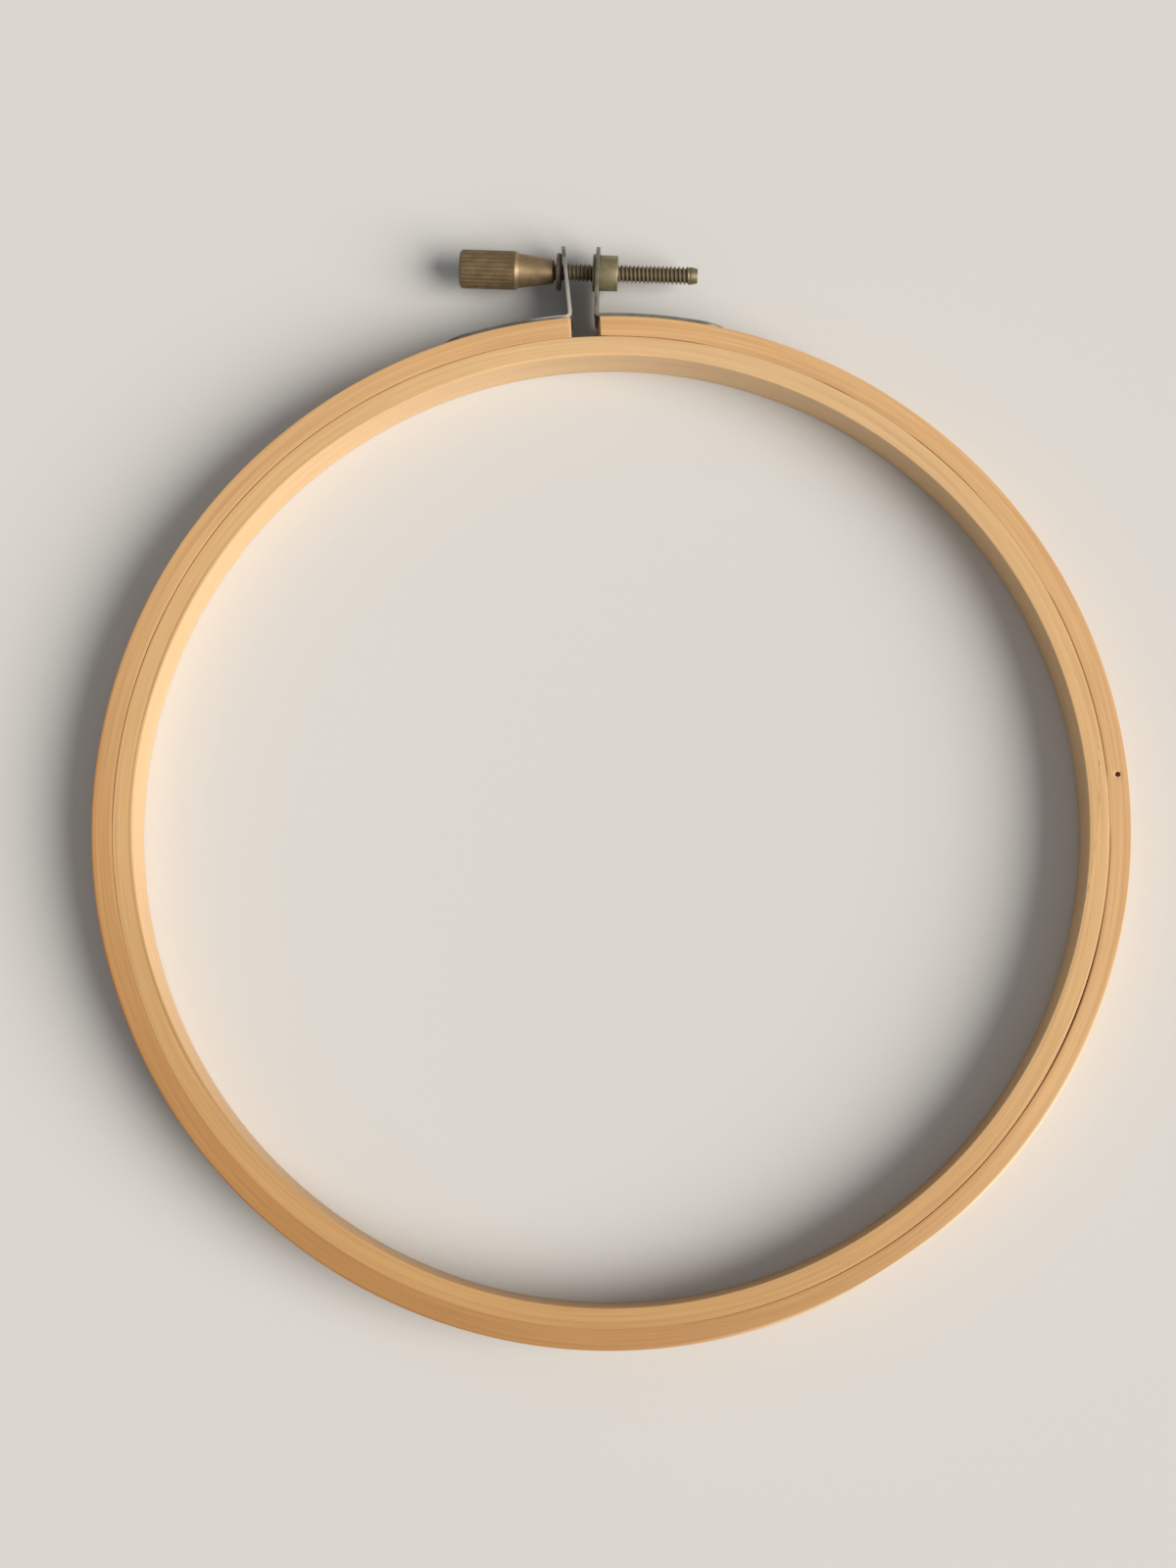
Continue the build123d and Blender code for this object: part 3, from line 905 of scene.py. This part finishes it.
# %% Where the screw lies
low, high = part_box("knob_washer")
screw_y = (low.y + high.y) / 2 / MM
screw_z = (low.z + high.z) / 2 / MM
on_screw = Matrix.Translation((0, screw_y, screw_z))
print("screw axis at y", round(screw_y, 2), "z", round(screw_z, 2))


def ends(node):
    """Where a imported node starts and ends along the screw, in millimetres."""
    lowest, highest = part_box(node)
    return lowest.x / MM, highest.x / MM


def make_screw_piece(bm, name, material, crease=32):
    """Moves a mesh that was turned round the X axis onto the screw, and makes it a piece."""
    bmesh.ops.transform(bm, matrix=on_screw, space=Matrix(), verts=bm.verts)
    return make_piece(bm, name, material, crease)


# %% Draw one turn of the thread and join its copies
PITCH = 0.635
CREST = 1.42
ROOT = 1.05
ROOT_END = 0.14
CREST_START = 0.35
CREST_END = 0.425
THREAD_STEPS = 40
SPARE_TURNS = 3
rod_start, rod_end = ends("screw_rod")
thread_start = rod_start - SPARE_TURNS / 2 * PITCH
turns = math.ceil((rod_end - rod_start) / PITCH) + SPARE_TURNS
tooth = [(0, ROOT), (ROOT_END, ROOT), (CREST_START, CREST), (CREST_END, CREST), (PITCH, ROOT)]
bm = bmesh.new()
points = [bm.verts.new((thread_start + along, radius, 0)) for along, radius in tooth]
edges = [bm.edges.new(pair) for pair in zip(points, points[1:])]
bmesh.ops.spin(
    bm,
    geom=points + edges,
    cent=(0, 0, 0),
    axis=(1, 0, 0),
    dvec=(PITCH / THREAD_STEPS, 0, 0),
    angle=math.tau,
    steps=THREAD_STEPS,
    use_merge=False,
    use_duplicate=False,
)
one_turn = list(bm.verts) + list(bm.edges) + list(bm.faces)
for count in range(1, turns):
    copied = bmesh.ops.duplicate(bm, geom=one_turn)["geom"]
    moved = [v for v in copied if isinstance(v, bmesh.types.BMVert)]
    bmesh.ops.translate(bm, vec=(count * PITCH, 0, 0), verts=moved)
bmesh.ops.remove_doubles(bm, verts=bm.verts, dist=WELD)
print("thread:", turns, "turns")

# %% Run the thread out at the tip and cut the rod's ends
TIP_LENGTH = 1.7
TIP_RADIUS = 1.12
TIP_CURVE = 1.5
PAST_TIP = 1.2
RUN_OUT = 1 / 3
CREST_BAND = 0.02
TIP_WORN = 0.5
wear_and_highlight = bm.verts.layers.float.new("wear_and_highlight")
for point in bm.verts:
    x, y, z = point.co
    radius = math.hypot(y, z)
    point[wear_and_highlight] = 1.0 if radius > CREST - CREST_BAND else 0.0
    into_tip = (x - rod_end + TIP_LENGTH) / TIP_LENGTH
    if into_tip > 0:
        cone = CREST + (TIP_RADIUS - CREST) * min(into_tip, PAST_TIP) ** TIP_CURVE
        run_out = ramp(into_tip, RUN_OUT)
        target = min(radius, cone) * (1 - run_out) + cone * run_out
        point.co = (x, y * target / radius, z * target / radius)
        point[wear_and_highlight] = TIP_WORN
for stop, direction in ((rod_start, -1), (rod_end, 1)):
    cut = bmesh.ops.bisect_plane(
        bm,
        geom=list(bm.verts) + list(bm.edges) + list(bm.faces),
        plane_co=(stop, 0, 0),
        plane_no=(direction, 0, 0),
        clear_outer=True,
    )
    rim = [e for e in cut["geom_cut"] if isinstance(e, bmesh.types.BMEdge)]
    bmesh.ops.contextual_create(bm, geom=rim)
bmesh.ops.recalc_face_normals(bm, faces=bm.faces)
threaded_rod = make_screw_piece(bm, "threaded_rod", screw_brass)
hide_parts("screw_rod")
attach(threaded_rod, "thumb_screw")

# %% [markdown]
# ## The knob
# The knob was turned from bar: a ribbed grip, a narrow shoulder, and a taper down to the rod. A
# straight knurling wheel presses the ribs in, so they are shallow, and handling has worn them.
# The whole outline is spun first, and the grip's points are then pressed in between the ribs.
# The outline runs from the middle of the free end, over the grip and taper, into the rod's bore.

# %% Turn the knob
RIB_COUNT = 24
RIB_STEPS = 8
END_FLAT = 1.5
END_RADIUS = 2.62
END_CHAMFER = 0.36
GRIP_LENGTH = 8.8
GRIP_RADIUS = 2.98
GRIP_MARGIN = 0.8
GRIP_END_RADIUS = 2.96
SHOULDER = 0.35
SHOULDER_RADIUS = 2.65
WAIST = 2.7
WAIST_RADIUS = 2.25
NOSE_EDGE = 0.25
NOSE_RADIUS = 1.87
NOSE_FACE_RADIUS = 1.64
KNOB_BORE = 1.46
KNOB_BORE_DEPTH = 5.9
KNOB_ROUND = 0.06
knob_start, knob_nose = ends("thumb_knob")
grip_end = knob_start + GRIP_LENGTH
taper_start = grip_end + SHOULDER
knob_outline = [
    (knob_start, 0),
    (knob_start, END_FLAT),
    (knob_start, END_RADIUS),
    (knob_start + END_CHAMFER, GRIP_RADIUS),
    (knob_start + GRIP_MARGIN, GRIP_RADIUS),
    (grip_end - GRIP_MARGIN, GRIP_RADIUS),
    (grip_end - SHOULDER, GRIP_RADIUS),
    (grip_end, GRIP_END_RADIUS),
    (taper_start, SHOULDER_RADIUS),
    (knob_nose - WAIST, WAIST_RADIUS),
    (knob_nose - NOSE_EDGE, NOSE_RADIUS),
    (knob_nose, NOSE_FACE_RADIUS),
    (knob_nose, KNOB_BORE),
    (knob_nose - KNOB_BORE_DEPTH, KNOB_BORE),
    (knob_nose - KNOB_BORE_DEPTH, 0),
]
bm = turn(knob_outline, RIB_COUNT * RIB_STEPS)
wear_edges(bm, KNOB_ROUND, sharper_than=18)
print("knob from", round(knob_start, 2), "to", round(knob_nose, 2), "along the screw")

# %% Press in the grooves between the ribs
RIB_DEPTH = 0.12
GROOVE_REACH = 0.25
GROOVE_RUN_OUT = 0.4
RIBBED_RADIUS = 2.7
TAPER_WORN = 0.42
WORN_OVERLAP = 0.1
wear_and_highlight = bm.verts.layers.float["wear_and_highlight"]
for point in bm.verts:
    x, y, z = point.co
    radius = math.hypot(y, z)
    if radius > RIBBED_RADIUS and x < taper_start:
        phase = (math.atan2(z, y) * RIB_COUNT / math.tau) % 1
        groove = near(phase - 0.5, GROOVE_REACH)
        groove *= ramp(grip_end - SHOULDER - x, GROOVE_RUN_OUT)
        groove *= ramp(x - knob_start, GROOVE_RUN_OUT)
        pressed = (radius - RIB_DEPTH * groove) / radius
        point.co = (x, y * pressed, z * pressed)
    if x > grip_end - WORN_OVERLAP:
        point[wear_and_highlight] = max(point[wear_and_highlight], TAPER_WORN)
knob = make_screw_piece(bm, "knurled_knob", knob_brass, crease=25)
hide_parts("thumb_knob")
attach(knob, "thumb_screw")

# %% [markdown]
# ## The washer and the nut
# The loose washer is punched, so its edges are a little rounded. The nut is turned with a thin
# flange, its neck is pushed through the ear from the inner side, and the barrel stands outside.
# Both have a hole, so their outlines are closed loops beside the axis, and no pole is left.

# %% Turn the washer
ROUND_SIDES = 72
WASHER_HOLE = 1.52
WASHER_RADIUS = 2.88
WASHER_ROUND = 0.14
washer_start, washer_end = ends("knob_washer")
washer_outline = [
    (washer_start, WASHER_HOLE),
    (washer_start, WASHER_RADIUS),
    (washer_end, WASHER_RADIUS),
    (washer_end, WASHER_HOLE),
]
bm = turn(washer_outline, ROUND_SIDES, closed=True)
wear_edges(bm, WASHER_ROUND)
washer = make_screw_piece(bm, "dark_washer", washer_bronze)
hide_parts("knob_washer")
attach(washer, "thumb_screw")

# %% Turn the nut
NUT_BORE = 1.47
FLANGE_THICKNESS = 0.5
FLANGE_RADIUS = 2.9
NECK_LENGTH = 0.55
NECK_RADIUS = 2.1
BARREL_RADIUS = 2.76
NUT_ROUND = 0.12
flange_start, nut_end = ends("clamp_nut")
ear_face = flange_start + FLANGE_THICKNESS
nut_outline = [
    (flange_start, NUT_BORE),
    (flange_start, FLANGE_RADIUS),
    (ear_face, FLANGE_RADIUS),
    (ear_face, NECK_RADIUS),
    (ear_face + NECK_LENGTH, NECK_RADIUS),
    (ear_face + NECK_LENGTH, BARREL_RADIUS),
    (nut_end, BARREL_RADIUS),
    (nut_end, NUT_BORE),
]
bm = turn(nut_outline, ROUND_SIDES, closed=True)
wear_edges(bm, NUT_ROUND)
nut = make_screw_piece(bm, "riveted_nut", nut_brass)
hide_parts("clamp_nut")
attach(nut, "right_clamp_half")

# %% [markdown]
# ## Floor, light and camera
# The hoop lies on a plain pale floor. One broad soft light stands low on the right, as a window
# does, and a dim even sky fills the shadows. The camera looks almost straight down from above
# the hoop's lower half, as in the photograph, so the inner wall shows most on the far side.

# %% The floor
FLOOR_SIZE = 3.0
FLOOR_DROP = 0.05
floor_paint = new_material("matt_floor_paint")
matt = {"Base Color": "#d2d1ce", "Roughness": 0.85, "Specular IOR Level": 0.2}
paint = add(floor_paint, "ShaderNodeBsdfPrincipled", matt)
add(floor_paint, "ShaderNodeOutputMaterial", {"Surface": paint})
bm = bmesh.new()
bmesh.ops.create_grid(bm, x_segments=1, y_segments=1, size=FLOOR_SIZE / 2 / MM)
bmesh.ops.translate(bm, vec=(0, 0, -FLOOR_DROP), verts=bm.verts)
floor = make_piece(bm, "pale_floor", floor_paint)

# %% The lights
LIGHT_AZIMUTH = math.radians(-17)
LIGHT_ELEVATION = math.radians(37)
LIGHT_SPREAD = math.radians(46)
LIGHT_STRENGTH = 4.15
LIGHT_COLOUR = "#fffaf3"
FILL_STRENGTH = 0.34
FILL_COLOUR = "#f2f3f5"
towards_light = Vector(
    (
        math.cos(LIGHT_AZIMUTH) * math.cos(LIGHT_ELEVATION),
        math.sin(LIGHT_AZIMUTH) * math.cos(LIGHT_ELEVATION),
        math.sin(LIGHT_ELEVATION),
    )
)
window = bpy.data.lights.new("window", "SUN")
window.angle = LIGHT_SPREAD
window.energy = LIGHT_STRENGTH
window.color = colour(LIGHT_COLOUR)[:3]
window_lamp = bpy.data.objects.new("window", window)
window_lamp.location = towards_light
window_lamp.rotation_euler = towards_light.to_track_quat("Z", "Y").to_euler()
bpy.context.scene.collection.objects.link(window_lamp)

sky = bpy.data.worlds.new("sky")
sky.use_nodes = True
sky.node_tree.nodes["Background"].inputs["Color"].default_value = colour(FILL_COLOUR)
sky.node_tree.nodes["Background"].inputs["Strength"].default_value = FILL_STRENGTH
bpy.context.scene.world = sky
bpy.context.scene.view_settings.view_transform = "Standard"
print("light from", [round(part, 2) for part in towards_light])

# %% The camera
CAMERA_PLACE = (0.006619, -0.038786, 0.390955)
CAMERA_DEGREES = (6.672, 1.232, 2.251)
SENSOR_WIDTH = 36
FOCAL_LENGTH = 58.57
NEAREST = 0.01
camera_data = bpy.data.cameras.new("camera")
camera_data.sensor_width = SENSOR_WIDTH
camera_data.lens = FOCAL_LENGTH
camera_data.clip_start = NEAREST
camera = bpy.data.objects.new("camera", camera_data)
camera.location = CAMERA_PLACE
camera.rotation_euler = [math.radians(angle) for angle in CAMERA_DEGREES]
bpy.context.scene.collection.objects.link(camera)
bpy.context.scene.camera = camera
print("camera at", CAMERA_PLACE, "with a lens of", FOCAL_LENGTH, "mm")
